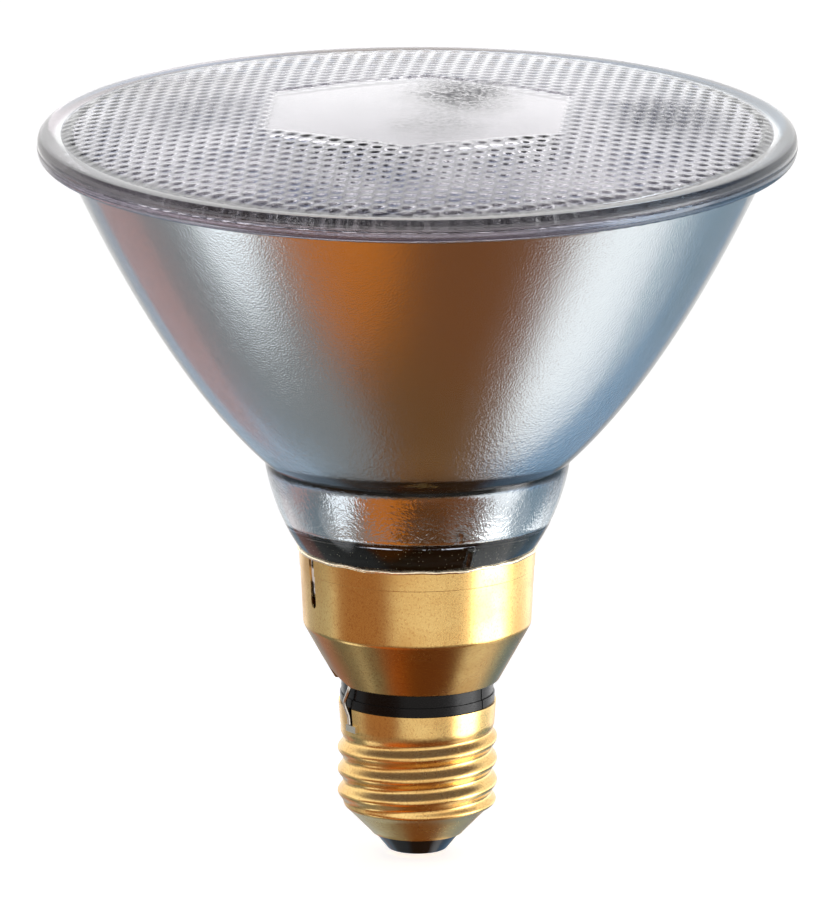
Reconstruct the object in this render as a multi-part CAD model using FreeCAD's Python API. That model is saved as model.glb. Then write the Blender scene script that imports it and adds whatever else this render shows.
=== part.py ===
import FreeCAD, Part
import math
import os

# Reflector spotlight bulb with a skirted screw cap, cap down and lens up.
# The origin is the tip of the centre contact, on the bulb's axis. Sizes are in millimetres.

Vector = FreeCAD.Vector
ORIGIN = Vector(0, 0, 0)
UP = Vector(0, 0, 1)
ACROSS = Vector(1, 0, 0)

# Contact end of the cap
solder_height = 0.8
solder_radius = 2.25
contact_radius = 4.3
contact_thickness = 0.5
contact_hole_radius = 0.9
insulator_foot_margin = 0.45
insulator_foot_round = 0.7
insulator_neck_inset = 0.3
insulator_exposed_height = 2.9
insulator_depth_in_shell = 3.4
insulator_dish_radius = 5.0
insulator_dish_depth = 1.6
insulator_fit = 0.05
insulator_cone_gap = 0.2

# Screw shell, with its rounded right-hand thread
brass_sheet = 0.35
shell_length = 22.1
shell_mouth_radius = 7.4
shell_mouth_step = 0.85
shell_cone_rise_per_radius = 1.02
thread_pitch = 3.629
thread_crest_radius = 13.05
thread_depth = 0.9
thread_crest_above_mouth = 7.75
thread_crest_angle = 270
thread_runout_length = 2.0
thread_plain_band = 3.9
band_flare = 0.75
band_foot_flare = 0.45
lip_slot_angle = 210.5
lip_slot_width = 1.4
lip_slot_depth = 3.2

# Black ring that keeps the skirt and the shell apart
ring_height = 3.7
ring_shell_step = 0.25
ring_upper_step = 0.2
ring_upper_height = 2.2
ring_spigot_length = 4.0
ring_neck_inset = 0.75
ring_neck_length = 2.0
ring_neck_round = 0.4
ring_wall = 3.4
ring_fit = 0.05
ring_flare_gap = 0.15
ring_seam_angle = 327
ring_seam_width = 0.3
ring_seam_depth = 0.12

# Brass skirt
skirt_foot_overhang = 0.75
skirt_cone_width = 5.25
skirt_wall_flare = 0.75
skirt_cone_height = 9.5
skirt_wall_height = 12.9
skirt_foot_round = 0.5
skirt_shoulder_round = 1.5
lip_band_height = 3.3
lip_band_step = 0.1
slit_angle = 206.5
slit_width = 1.6
slit_depth = 8.7
notch_height = 5.0
notch_back_y = -0.2
notch_apex_y = -1.4
notch_lead_margin = 1.05

# Cement between the skirt and the glass boss
cement_thickness = 0.5
cement_depth = 6.4

# Glass bowl
boss_depth = 7.6
boss_wall = 3.0
boss_round = 0.8
web_underside_drop = 0.7
web_thickness = 5.3
pocket_floor_inset = 1.8
pocket_flare = 2.6
pocket_depth = 9.4
pocket_floor_round = 1.6
pocket_edge_round = 1.5
focal_length = 12.7
mouth_radius = 55.8
bowl_wall = 2.65
heel_reach = 3.1
heel_bulge = 0.9
rim_seat_width = 6.2
reflector_flange = 2.0
flange_foot_round = 1.4
flange_seam_bevel = 0.2
lug_angle = 294
lug_radius = 0.9
lug_foot_above_lip = 1.5
lug_length = 2.4
lug_lean = 1.1

# Mirror film, drawn thicker than the real film so that it is a solid
film_thickness = 0.12
film_rim_margin = 0.6

# Lens
lens_flange = 1.8
lens_rim_round = 1.7
lens_rim_width = 4.0
lens_field_step = 0.2
lens_rise = 4.4
lens_thickness = 2.5
window_half_width = 24.0
window_side_half_height = 13.4
window_half_height = 24.6
window_turn = -4.0
window_recess = 0.3

# Seals, posts and filament
ferrule_radius = 3.2
ferrule_wall = 0.4
ferrule_spacing = 19.0
ferrule_stand_up = 1.0
ferrule_collar_width = 0.9
ferrule_collar_thickness = 0.5
film_clearance = 1.0
post_radius = 0.75
post_tip_round = 0.3
post_above_focus = 0.9
bead_radius = 1.6
bead_round = 0.95
bead_overhang = 1.6
bead_below_focus = 6.5
coil_radius = 1.1
coil_wire_radius = 0.25
coil_pitch = 1.25
coil_turns = 11
leg_inset = 0.01
support_wire_radius = 0.2
support_eye_gap = 0.05
support_eye_mouth = 0.55
exhaust_radius = 2.6
exhaust_wall = 1.2
exhaust_length = 9.5
exhaust_tip_length = 2.6
exhaust_tip_radius = 0.8
exhaust_tip_round = 0.5

# Lead wires
lead_radius = 0.32
lead_bend = 2.0
centre_lead_bend = 6.0
lead_straight = 3.0
lead_bow = 0.55
lead_exit_turn = 2.0
lead_skirt_gap = 0.2
lead_slot_inset = 0.08
solder_patch_height = 1.1
solder_patch_proud = 0.25
solder_patch_lead_in = 3.0
solder_patch_span = 12.0

# How finely curved outlines are drawn, and how far a cut reaches past what it cuts
curve_steps = 12
thread_rows = 66
thread_columns = 32
cut_reach = 3.0
quarter_round = 1 - math.sqrt(0.5)

# Radii that follow from those, from the contact end up
insulator_foot_radius = contact_radius + insulator_foot_margin
insulator_neck_radius = shell_mouth_radius - insulator_neck_inset
thread_root_radius = thread_crest_radius - thread_depth
shell_lip_radius = thread_root_radius + band_flare
ring_radius = shell_lip_radius - ring_shell_step
ring_neck_radius = ring_radius - ring_neck_inset
ring_bore_radius = ring_neck_radius - ring_wall
skirt_foot_radius = ring_radius + skirt_foot_overhang
skirt_shoulder_radius = skirt_foot_radius + skirt_cone_width
skirt_lip_radius = skirt_shoulder_radius + skirt_wall_flare
boss_radius = skirt_lip_radius - brass_sheet - cement_thickness
pocket_floor_radius = skirt_lip_radius - pocket_floor_inset
pocket_radius = pocket_floor_radius + pocket_flare
rim_radius = mouth_radius + rim_seat_width
lens_flange_land = rim_radius - lens_rim_round
lens_field_radius = rim_radius - lens_rim_width
ferrule_collar_radius = ferrule_radius + ferrule_collar_width
leg_radius = coil_wire_radius - leg_inset
exhaust_bore_radius = exhaust_radius - exhaust_wall

# Heights along the axis, from the contact end up
insulator_foot = solder_height
shell_mouth = insulator_foot + insulator_exposed_height
shell_lip = shell_mouth + shell_length
ring_top = shell_lip + ring_height
skirt_shoulder = ring_top + skirt_cone_height
skirt_lip = skirt_shoulder + skirt_wall_height
web_underside = skirt_lip - web_underside_drop
pocket_floor = web_underside + web_thickness
pocket_edge = pocket_floor + pocket_depth
vertex = pocket_edge - pocket_radius ** 2 / (4 * focal_length)
focus = vertex + focal_length
seam = vertex + mouth_radius ** 2 / (4 * focal_length)
flange_underside = seam - reflector_flange
lens_land = seam + lens_flange
field_edge = lens_land + lens_field_step
lens_top = field_edge + lens_rise


def at(radius, height, angle=0.0):
    """A point at a radius and height, turned by an angle about the bulb's axis."""
    turn = math.radians(angle)
    return Vector(radius * math.cos(turn), radius * math.sin(turn), height)


def spaced(first, last, steps):
    """Evenly spaced numbers from first to last."""
    return [first + (last - first) * step / steps for step in range(steps + 1)]


def run_of(corners):
    """Edges through corners (radius, height[, round]), with an arc at each inner corner that has a round."""
    edges = []
    start = at(*corners[0][:2])
    for index in range(1, len(corners)):
        corner = at(*corners[index][:2])
        rounding = corners[index][2] if len(corners[index]) > 2 else 0
        if rounding and index < len(corners) - 1:
            back = (start - corner).normalize()
            ahead = (at(*corners[index + 1][:2]) - corner).normalize()
            half_turn = back.getAngle(ahead) / 2
            inset = rounding / math.tan(half_turn)
            centre = corner + (back + ahead).normalize() * (rounding / math.sin(half_turn))
            middle = centre + (corner - centre).normalize() * rounding
            edges.append(Part.LineSegment(start, corner + back * inset).toShape())
            edges.append(Part.Arc(corner + back * inset, middle, corner + ahead * inset).toShape())
            start = corner + ahead * inset
        else:
            edges.append(Part.LineSegment(start, corner).toShape())
            start = corner
    return edges


def arc_of(first, middle, last):
    """An arc through three (radius, height) points."""
    return Part.Arc(at(*first), at(*middle), at(*last)).toShape()


def curve_of(points):
    """A smooth curve through (radius, height) points."""
    curve = Part.BSplineCurve()
    curve.interpolate([at(*point) for point in points])
    return curve.toShape()


def dome_height(radius, edge_radius, edge_height, rise):
    """Height of a shallow spherical dome at a radius."""
    sphere = (edge_radius ** 2 + rise ** 2) / (2 * rise)
    return edge_height + rise - sphere + math.sqrt(sphere ** 2 - radius ** 2)


def turned(edges):
    """The solid that a closed outline makes about the bulb's axis."""
    outline = Part.Wire(Part.__sortEdges__(edges))
    return Part.Face(outline).revolve(ORIGIN, UP, 360)


def turned_corners(corners):
    """A turned solid from a closed run of corners."""
    return turned(run_of(corners + [corners[0][:2]]))


def rod(points, radius, bend):
    """A round wire along straight runs joined by tangent arcs."""
    edges = []
    start = points[0]
    for index in range(1, len(points) - 1):
        corner = points[index]
        back = start - corner
        ahead = points[index + 1] - corner
        half_turn = back.getAngle(ahead) / 2
        room = 0.45 * min((points[index - 1] - corner).Length, ahead.Length)
        inset = min(bend / math.tan(half_turn), room)
        bent = inset * math.tan(half_turn)
        back.normalize()
        ahead.normalize()
        centre = corner + (back + ahead).normalize() * (bent / math.sin(half_turn))
        middle = centre + (corner - centre).normalize() * bent
        edges.append(Part.LineSegment(start, corner + back * inset).toShape())
        edges.append(Part.Arc(corner + back * inset, middle, corner + ahead * inset).toShape())
        start = corner + ahead * inset
    edges.append(Part.LineSegment(start, points[-1]).toShape())
    section = Part.Circle(points[0], points[1] - points[0], radius).toShape()
    return Part.Wire(edges).makePipeShell([Part.Wire(section)], True, False)


def sector(inner, outer, bottom, top, first_angle, span):
    """A block between two radii and two heights, over a span of angle."""
    corners = [(inner, bottom), (outer, bottom), (outer, top), (inner, top), (inner, bottom)]
    face = Part.Face(Part.Wire(run_of(corners)))
    face.rotate(ORIGIN, UP, first_angle)
    return face.revolve(ORIGIN, UP, span)


def radial_box(width, inner, outer, bottom, top, angle):
    """A box that reaches out from the axis at an angle."""
    box = Part.makeBox(outer - inner, width, top - bottom, Vector(inner, -width / 2, bottom))
    box.rotate(ORIGIN, UP, angle)
    return box


def easing(value, start, end):
    """Rises smoothly from 0 at start to 1 at end."""
    share = max(0.0, min(1.0, (value - start) / (end - start)))
    return share * share * (3 - 2 * share)


# Screw shell: its plain form, the thread wave on it, and the rolled sheet
cone_top = shell_mouth + shell_mouth_step + shell_cone_rise_per_radius * (
    thread_root_radius - shell_mouth_radius - shell_mouth_step)
thread_end = shell_lip - thread_plain_band
shell_form = [
    (shell_mouth_radius, shell_mouth),
    (shell_mouth_radius + shell_mouth_step, shell_mouth + shell_mouth_step),
    (thread_root_radius, cone_top),
    (thread_root_radius, thread_end - thread_runout_length / 2),
    (thread_root_radius + band_foot_flare, thread_end),
    (shell_lip_radius, shell_lip),
]
form_blend = 0.35


def form_radius(height):
    """Radius of the shell's plain form, straight between its corners."""
    height = max(shell_mouth, min(shell_lip, height))
    for (low_radius, low), (high_radius, high) in zip(shell_form, shell_form[1:]):
        if height <= high:
            return low_radius + (high_radius - low_radius) * (height - low) / (high - low)
    return shell_lip_radius


def shell_radius(height, angle):
    """Radius of the shell's outside, with its corners eased and the thread wave added."""
    around = form_radius(height - form_blend) + form_radius(height + form_blend)
    plain = (around + 2 * form_radius(height)) / 4
    turns = (height - shell_mouth - thread_crest_above_mouth) / thread_pitch
    turns -= (angle - thread_crest_angle) / 360
    wave = 0.5 + 0.5 * math.cos(2 * math.pi * turns)
    depth = thread_depth
    depth *= easing(height, cone_top - thread_runout_length / 2, cone_top + thread_runout_length / 2)
    depth *= 1 - easing(height, thread_end - thread_runout_length, thread_end)
    return plain + depth * wave


def shell_side(inset):
    """One side of the rolled sheet, as a surface that closes round the axis."""
    heights = spaced(shell_mouth, shell_lip, thread_rows)
    angles = spaced(0, 360, thread_columns)
    grid = [[at(shell_radius(z, a) - inset, z, a) for z in heights] for a in angles]
    surface = Part.BSplineSurface()
    surface.interpolate(grid)
    return surface.toShape()


def level_edge(face, height):
    """The closed edge of a face that lies at one height."""
    for edge in face.Edges:
        if abs(edge.BoundBox.ZMin - height) < 1e-4 and abs(edge.BoundBox.ZMax - height) < 1e-4:
            return edge
    return None


def make_screw_shell():
    outside = shell_side(0)
    inside = shell_side(brass_sheet)
    faces = [outside, inside]
    for height in (shell_mouth, shell_lip):
        faces.append(Part.makeRuledSurface(level_edge(outside, height), level_edge(inside, height)))
    skin = Part.makeCompound(faces)
    skin.sewShape()
    shell = Part.Solid(skin.Shells[0])
    slot = radial_box(lip_slot_width, shell_lip_radius - cut_reach, shell_lip_radius + cut_reach,
                      shell_lip - lip_slot_depth, shell_lip + cut_reach, lip_slot_angle)
    return shell.cut(slot)


def make_base_insulator():
    inner_top = shell_mouth + insulator_depth_in_shell
    wall_at_mouth = shell_mouth_radius - brass_sheet - insulator_fit
    wall_above_step = shell_mouth_radius + shell_mouth_step - brass_sheet - insulator_cone_gap
    top_radius = form_radius(inner_top) - brass_sheet - insulator_cone_gap
    dish_floor = inner_top - insulator_dish_depth
    plug = turned_corners([
        (contact_hole_radius, insulator_foot),
        (insulator_foot_radius, insulator_foot, insulator_foot_round),
        (insulator_neck_radius, shell_mouth),
        (wall_at_mouth, shell_mouth),
        (wall_above_step, shell_mouth + shell_mouth_step),
        (top_radius, inner_top),
        (insulator_dish_radius, inner_top, insulator_foot_round),
        (contact_hole_radius, dish_floor),
    ])
    recess = Part.makeCylinder(contact_radius, contact_thickness, Vector(0, 0, insulator_foot))
    return plug.cut(recess)


def make_centre_contact():
    plate = Part.makeCylinder(contact_radius, contact_thickness, Vector(0, 0, insulator_foot))
    hole = Part.makeCylinder(contact_hole_radius, contact_thickness, Vector(0, 0, insulator_foot))
    return plate.cut(hole)


def make_centre_solder():
    middle_rise = dome_height(solder_radius / 2, solder_radius, 0, solder_height)
    dome_middle = (solder_radius / 2, solder_height - middle_rise)
    contact_top = insulator_foot + contact_thickness
    return turned([
        arc_of((0, 0), dome_middle, (solder_radius, solder_height)),
        *run_of([(solder_radius, solder_height), (contact_hole_radius, solder_height),
                 (contact_hole_radius, contact_top), (0, contact_top), (0, 0)]),
    ])


def make_insulating_ring():
    spigot_radius = form_radius(shell_lip - ring_spigot_length / 2) - brass_sheet - ring_flare_gap
    ring = turned_corners([
        (ring_bore_radius, shell_lip - ring_spigot_length),
        (thread_root_radius - brass_sheet - ring_fit, shell_lip - ring_spigot_length),
        (spigot_radius, shell_lip - ring_spigot_length / 2),
        (shell_lip_radius - brass_sheet - ring_flare_gap, shell_lip),
        (ring_radius, shell_lip),
        (ring_radius, ring_top - ring_upper_height),
        (ring_radius - ring_upper_step, ring_top - ring_upper_height),
        (ring_radius - ring_upper_step, ring_top),
        (ring_neck_radius, ring_top),
        (ring_neck_radius, ring_top + ring_neck_length, ring_neck_round),
        (ring_bore_radius, ring_top + ring_neck_length),
    ])
    seam_line = radial_box(ring_seam_width, ring_radius - ring_upper_step - ring_seam_depth,
                           ring_radius + cut_reach, shell_lip, ring_top, ring_seam_angle)
    return ring.cut(seam_line)


def lead_exit():
    """Where the side lead passes the skirt's foot."""
    return at(skirt_foot_radius - lead_skirt_gap, ring_top, lip_slot_angle + lead_exit_turn)


def make_skirt():
    cone_slope = (skirt_shoulder_radius - skirt_foot_radius) / skirt_cone_height
    cone_inset = brass_sheet * math.hypot(1, cone_slope)
    band_foot = skirt_lip - lip_band_height
    wall_slope = (skirt_lip_radius - lip_band_step - skirt_shoulder_radius) / skirt_wall_height
    band_foot_radius = skirt_shoulder_radius + wall_slope * (skirt_wall_height - lip_band_height)
    foot_inner = skirt_foot_radius + brass_sheet * cone_slope - cone_inset
    skirt = turned_corners([
        (ring_neck_radius + ring_fit, ring_top),
        (skirt_foot_radius, ring_top, skirt_foot_round),
        (skirt_shoulder_radius, skirt_shoulder, skirt_shoulder_round),
        (band_foot_radius, band_foot),
        (band_foot_radius + lip_band_step, band_foot + lip_band_step),
        (skirt_lip_radius, skirt_lip),
        (skirt_lip_radius - brass_sheet, skirt_lip),
        (skirt_shoulder_radius - brass_sheet, skirt_shoulder + brass_sheet / 2, skirt_shoulder_round),
        (foot_inner, ring_top + brass_sheet),
        (ring_neck_radius + ring_fit, ring_top + brass_sheet),
    ])
    slit_foot = skirt_lip - slit_depth + slit_width / 2
    slit = radial_box(slit_width, skirt_shoulder_radius - cut_reach, skirt_lip_radius + cut_reach,
                      slit_foot, skirt_lip + cut_reach, slit_angle)
    slit_end = Part.makeCylinder(slit_width / 2, skirt_lip_radius + cut_reach, at(0, slit_foot),
                                 at(1, 0, slit_angle))
    notch_front_y = lead_exit().y - notch_lead_margin
    notch_outline = [(notch_back_y, ring_top - cut_reach), (notch_back_y, ring_top),
                     (notch_apex_y, ring_top + notch_height),
                     (notch_front_y, ring_top), (notch_front_y, ring_top - cut_reach)]
    notch_corners = [Vector(-skirt_lip_radius, y, height) for y, height in notch_outline]
    notch = Part.Face(Part.makePolygon(notch_corners + notch_corners[:1]))
    notch = notch.extrude(ACROSS * (skirt_lip_radius - ring_neck_radius / 2))
    return skirt.cut([slit, slit_end]).cut(notch)


def make_base_cement():
    cement_foot = skirt_lip - cement_depth
    outer_foot = skirt_lip_radius - brass_sheet - (skirt_lip_radius - skirt_shoulder_radius) * (
        cement_depth / (skirt_wall_height - brass_sheet / 2))
    return turned_corners([
        (boss_radius, cement_foot),
        (outer_foot, cement_foot),
        (skirt_lip_radius - brass_sheet, skirt_lip),
        (boss_radius, skirt_lip),
    ])


def bowl_height(radius):
    """Height of the parabolic mirror surface at a radius."""
    return vertex + radius ** 2 / (4 * focal_length)


def beside_bowl(radius, distance):
    """The point at a distance square to the mirror surface, outwards and down."""
    slope = radius / (2 * focal_length)
    length = math.hypot(slope, 1)
    return (radius + distance * slope / length, bowl_height(radius) - distance / length)


def bowl_radius_for(height, distance):
    """The mirror radius whose point beside the bowl lies at a height."""
    low, high = pocket_radius, 2 * mouth_radius
    for _ in range(50):
        middle = (low + high) / 2
        if beside_bowl(middle, distance)[1] < height:
            low = middle
        else:
            high = middle
    return low


def inside_run(inset, top_radius):
    """The bowl's inner outline from its pocket floor to a radius, moved into the bowl by an inset."""
    bowl_foot = pocket_radius + pocket_edge_round
    points = [beside_bowl(radius, -inset) for radius in spaced(bowl_foot, top_radius, curve_steps)]
    lean = math.atan2(pocket_radius - pocket_floor_radius, pocket_depth)
    low = (pocket_floor_radius - inset / math.cos(lean) + inset * math.tan(lean), pocket_floor + inset)
    edge = (pocket_radius - inset, pocket_edge)
    wall_top_share = 1 - pocket_edge_round / pocket_depth
    wall_top = tuple(a + (b - a) * wall_top_share for a, b in zip(low, edge))
    middle = tuple((a + b + 2 * c) / 4 for a, b, c in zip(wall_top, points[0], edge))
    edges = run_of([(0, pocket_floor + inset), (*low, pocket_floor_round), wall_top])
    return edges + [arc_of(wall_top, middle, points[0]), curve_of(points)]


def web_hole(x, radius):
    """A cutter for a hole through the glass web."""
    return Part.makeCylinder(radius, web_thickness + 2 * cut_reach, Vector(x, 0, web_underside - cut_reach))


def make_reflector():
    kink_radius = pocket_radius + heel_reach
    flange_foot = bowl_radius_for(flange_underside, bowl_wall)
    outside = [beside_bowl(radius, bowl_wall) for radius in spaced(kink_radius, flange_foot, curve_steps)]
    kink = outside[0]
    heel_foot = (skirt_lip_radius, skirt_lip)
    heel_run = math.hypot(kink[0] - heel_foot[0], kink[1] - heel_foot[1])
    heel_middle = ((kink[0] + heel_foot[0]) / 2 + heel_bulge * (kink[1] - heel_foot[1]) / heel_run,
                   (kink[1] + heel_foot[1]) / 2 - heel_bulge * (kink[0] - heel_foot[0]) / heel_run)
    round_foot = (rim_radius - flange_foot_round, flange_underside)
    round_top = (rim_radius, flange_underside + flange_foot_round)
    round_middle = (rim_radius - flange_foot_round * quarter_round,
                    flange_underside + flange_foot_round * quarter_round)
    boss_inner = boss_radius - boss_wall
    bowl = turned([
        *inside_run(0, mouth_radius),
        *run_of([(mouth_radius, seam), (rim_radius - flange_seam_bevel, seam),
                 (rim_radius, seam - flange_seam_bevel), round_top]),
        arc_of(round_top, round_middle, round_foot),
        *run_of([round_foot, outside[-1]]),
        curve_of(outside),
        arc_of(kink, heel_middle, heel_foot),
        *run_of([heel_foot, (boss_radius, skirt_lip), (boss_radius, skirt_lip - boss_depth, boss_round),
                 (boss_inner, skirt_lip - boss_depth, boss_round), (boss_inner, web_underside, boss_round),
                 (0, web_underside), (0, pocket_floor)]),
    ])
    bowl = bowl.cut([web_hole(-ferrule_spacing / 2, ferrule_radius), web_hole(0, exhaust_bore_radius),
                     web_hole(ferrule_spacing / 2, ferrule_radius)])
    lug_height = skirt_lip + lug_foot_above_lip
    lug_foot = at(skirt_lip_radius + lug_radius, lug_height, lug_angle)
    lug_head = at(skirt_lip_radius + lug_radius + lug_lean, lug_height + lug_length, lug_angle)
    lug = rod([lug_foot, lug_head], lug_radius, 0)
    lug = lug.fuse([Part.makeSphere(lug_radius, lug_foot), Part.makeSphere(lug_radius, lug_head)])
    return bowl.fuse(lug)


def make_mirror_coating():
    rim = run_of([(mouth_radius, seam), beside_bowl(mouth_radius, -film_thickness)])
    middle = run_of([(0, pocket_floor), (0, pocket_floor + film_thickness)])
    film = turned(inside_run(0, mouth_radius) + rim + inside_run(film_thickness, mouth_radius) + middle)
    bare_height = bowl_height(mouth_radius - film_rim_margin)
    film = film.cut(Part.makeCylinder(rim_radius, rim_radius, Vector(0, 0, bare_height)))
    bare_ring = ferrule_radius + film_clearance
    return film.cut([web_hole(-ferrule_spacing / 2, bare_ring), web_hole(0, exhaust_bore_radius),
                     web_hole(ferrule_spacing / 2, bare_ring)])


def window_outline(height):
    """The six-sided plain window, as a closed outline at a height."""
    corners = [(0, -window_half_height), (window_half_width, -window_side_half_height),
               (window_half_width, window_side_half_height), (0, window_half_height),
               (-window_half_width, window_side_half_height), (-window_half_width, -window_side_half_height)]
    points = [Vector(x, y, height) for x, y in corners]
    outline = Part.makePolygon(points + points[:1])
    outline.rotate(ORIGIN, UP, window_turn)
    return outline


def make_lens():
    dome_middle = lens_field_radius / 2
    outer_middle = (dome_middle, dome_height(dome_middle, lens_field_radius, field_edge, lens_rise))
    sphere = (lens_field_radius ** 2 + lens_rise ** 2) / (2 * lens_rise)
    inner_sphere = sphere - lens_thickness
    centre_height = lens_top - sphere
    inner_edge = math.sqrt(inner_sphere ** 2 - (seam - centre_height) ** 2)
    inner_middle_height = centre_height + math.sqrt(inner_sphere ** 2 - (inner_edge / 2) ** 2)
    inner_middle = (inner_edge / 2, inner_middle_height)
    round_top = (lens_flange_land, lens_land)
    round_foot = (rim_radius, seam + flange_seam_bevel)
    round_middle = (rim_radius - lens_rim_round * quarter_round,
                    lens_land - (lens_flange - flange_seam_bevel) * quarter_round)
    lens = turned([
        arc_of((0, lens_top), outer_middle, (lens_field_radius, field_edge)),
        *run_of([(lens_field_radius, field_edge), (lens_field_radius + lens_field_step, lens_land),
                 round_top]),
        arc_of(round_top, round_middle, round_foot),
        *run_of([round_foot, (rim_radius - flange_seam_bevel, seam), (inner_edge, seam)]),
        arc_of((inner_edge, seam), inner_middle, (0, lens_top - lens_thickness)),
        *run_of([(0, lens_top - lens_thickness), (0, lens_top)]),
    ])
    window = Part.Face(window_outline(field_edge))
    column = window.extrude(UP * 2 * lens_rise)
    window_floor = Part.makeSphere(sphere - window_recess, Vector(0, 0, centre_height))
    return lens.cut(column.cut(window_floor))


def make_ferrule(side):
    x = side * ferrule_spacing / 2
    base = Vector(x, 0, web_underside - ferrule_collar_thickness)
    height = pocket_floor + ferrule_stand_up - base.z
    cup = Part.makeCylinder(ferrule_radius, height, base)
    collar = Part.makeCylinder(ferrule_collar_radius, ferrule_collar_thickness, base)
    hollow = Part.makeCylinder(ferrule_radius - ferrule_wall, height - ferrule_wall, base)
    return cup.fuse(collar).cut(hollow).removeSplitter()


def make_lead_post(side):
    x = side * ferrule_spacing / 2
    foot = pocket_floor + ferrule_stand_up
    height = focus + post_above_focus - foot
    post = Part.makeCylinder(post_radius, height, Vector(x, 0, foot))
    tip = [edge for edge in post.Edges if abs(edge.BoundBox.ZMin - foot - height) < 1e-6]
    return post.makeFillet(post_tip_round, tip)


def make_support_bead(posts):
    length = ferrule_spacing + 2 * (post_radius + bead_overhang)
    bead = Part.makeCylinder(bead_radius, length, Vector(-length / 2, 0, focus - bead_below_focus), ACROSS)
    bead = bead.makeFillet(bead_round, [bead.Edges[0], bead.Edges[2]])
    return bead.cut(posts)


def make_filament(posts):
    length = coil_pitch * coil_turns
    helix = Part.makeHelix(coil_pitch, length, coil_radius)
    section = Part.Wire(Part.Circle(Vector(coil_radius, 0, 0), Vector(0, 1, 0), coil_wire_radius).toShape())
    coil = Part.Wire(helix.Edges).makePipeShell([section], True, True)
    coil.translate(Vector(0, 0, -length / 2))
    coil.rotate(ORIGIN, Vector(0, 1, 0), 90)
    coil.translate(Vector(0, 0, focus))
    legs = []
    for side in (-1, 1):
        start = Vector(side * (length / 2 - coil_wire_radius / 2), 0, focus - coil_radius)
        leg_length = (ferrule_spacing - length + coil_wire_radius) / 2
        legs.append(Part.makeCylinder(leg_radius, leg_length, start, ACROSS * side).cut(posts))
    return coil.fuse(legs)


def make_filament_support():
    foot = focus - bead_below_focus + bead_radius
    eye = coil_radius + coil_wire_radius + support_eye_gap + support_wire_radius
    stem = Part.makeCylinder(support_wire_radius, focus - eye - foot, Vector(0, 0, foot))
    ring = Part.makeTorus(eye, support_wire_radius, Vector(0, 0, focus), ACROSS)
    gap = Part.makeBox(2 * eye, 2 * eye, 2 * eye, Vector(-eye, 0, focus + support_eye_mouth))
    return stem.fuse(ring.cut(gap))


def make_exhaust_tube():
    foot = web_underside - exhaust_length
    neck = foot + exhaust_tip_length
    tip_wall = exhaust_radius - exhaust_bore_radius
    return turned_corners([
        (exhaust_bore_radius, web_underside),
        (exhaust_radius, web_underside),
        (exhaust_radius, neck, tip_wall),
        (exhaust_tip_radius, foot, exhaust_tip_round),
        (0, foot),
        (0, foot + tip_wall),
        (exhaust_bore_radius, neck + tip_wall / 2),
    ])


def make_centre_lead():
    x = ferrule_spacing / 2
    start = pocket_floor + ferrule_stand_up - ferrule_wall
    return rod([
        Vector(x, 0, start),
        Vector(x, 0, skirt_lip - lead_straight),
        Vector(x / 2, 0, skirt_shoulder),
        Vector(0, 0, ring_top - lead_straight),
        Vector(0, 0, insulator_foot + contact_thickness),
    ], lead_radius, centre_lead_bend)


def make_side_lead():
    x = -ferrule_spacing / 2
    start = pocket_floor + ferrule_stand_up - ferrule_wall
    in_slot = shell_lip_radius - lead_slot_inset
    bow = ring_radius + lead_radius + lead_bow
    return rod([
        Vector(x, 0, start),
        Vector(x, 0, skirt_lip - lead_straight),
        at(ring_neck_radius - lead_radius, skirt_shoulder - 2, lip_slot_angle - 6),
        at(ring_radius, ring_top + 1.6, lip_slot_angle + 1.5),
        lead_exit() - UP * lead_radius,
        at(bow, shell_lip + 0.9, lip_slot_angle - 3.0),
        at(in_slot, shell_lip - 1.3, lip_slot_angle - 1.0),
        at(in_slot, shell_lip - lip_slot_depth + solder_patch_height / 2, lip_slot_angle),
    ], lead_radius, lead_bend)


def make_side_solder(neighbours):
    foot = shell_lip - lip_slot_depth - solder_patch_height / 2
    blob = sector(shell_lip_radius - brass_sheet * 2, shell_lip_radius + solder_patch_proud,
                  foot, foot + solder_patch_height, lip_slot_angle - solder_patch_lead_in, solder_patch_span)
    return blob.cut(neighbours).Solids[0]


def build():
    """Every piece of the bulb by its name."""
    pieces = {}
    pieces["centre_solder"] = make_centre_solder()
    pieces["centre_contact"] = make_centre_contact()
    pieces["base_insulator"] = make_base_insulator()
    pieces["screw_shell"] = make_screw_shell()
    pieces["insulating_ring"] = make_insulating_ring()
    pieces["skirt"] = make_skirt()
    pieces["base_cement"] = make_base_cement()
    pieces["reflector"] = make_reflector()
    pieces["mirror_coating"] = make_mirror_coating()
    pieces["lens"] = make_lens()
    posts = []
    for name, side in (("left", -1), ("right", 1)):
        pieces["ferrule_" + name] = make_ferrule(side)
        pieces["lead_post_" + name] = make_lead_post(side)
        posts.append(pieces["lead_post_" + name])
    pieces["support_bead"] = make_support_bead(posts)
    pieces["filament"] = make_filament(posts)
    pieces["filament_support"] = make_filament_support()
    pieces["exhaust_tube"] = make_exhaust_tube()
    pieces["centre_lead"] = make_centre_lead()
    pieces["side_lead"] = make_side_lead()
    neighbours = [pieces[name] for name in ("screw_shell", "side_lead", "insulating_ring")]
    pieces["side_solder"] = make_side_solder(neighbours)
    return pieces


os.makedirs("parts", exist_ok=True)
for name, shape in build().items():
    shape.exportStep("parts/" + name + ".step")
    print(name, len(shape.Solids), shape.isValid(), round(shape.Volume, 1))
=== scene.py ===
import math

import bmesh
import bpy
from mathutils import Matrix, Vector, noise


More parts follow.
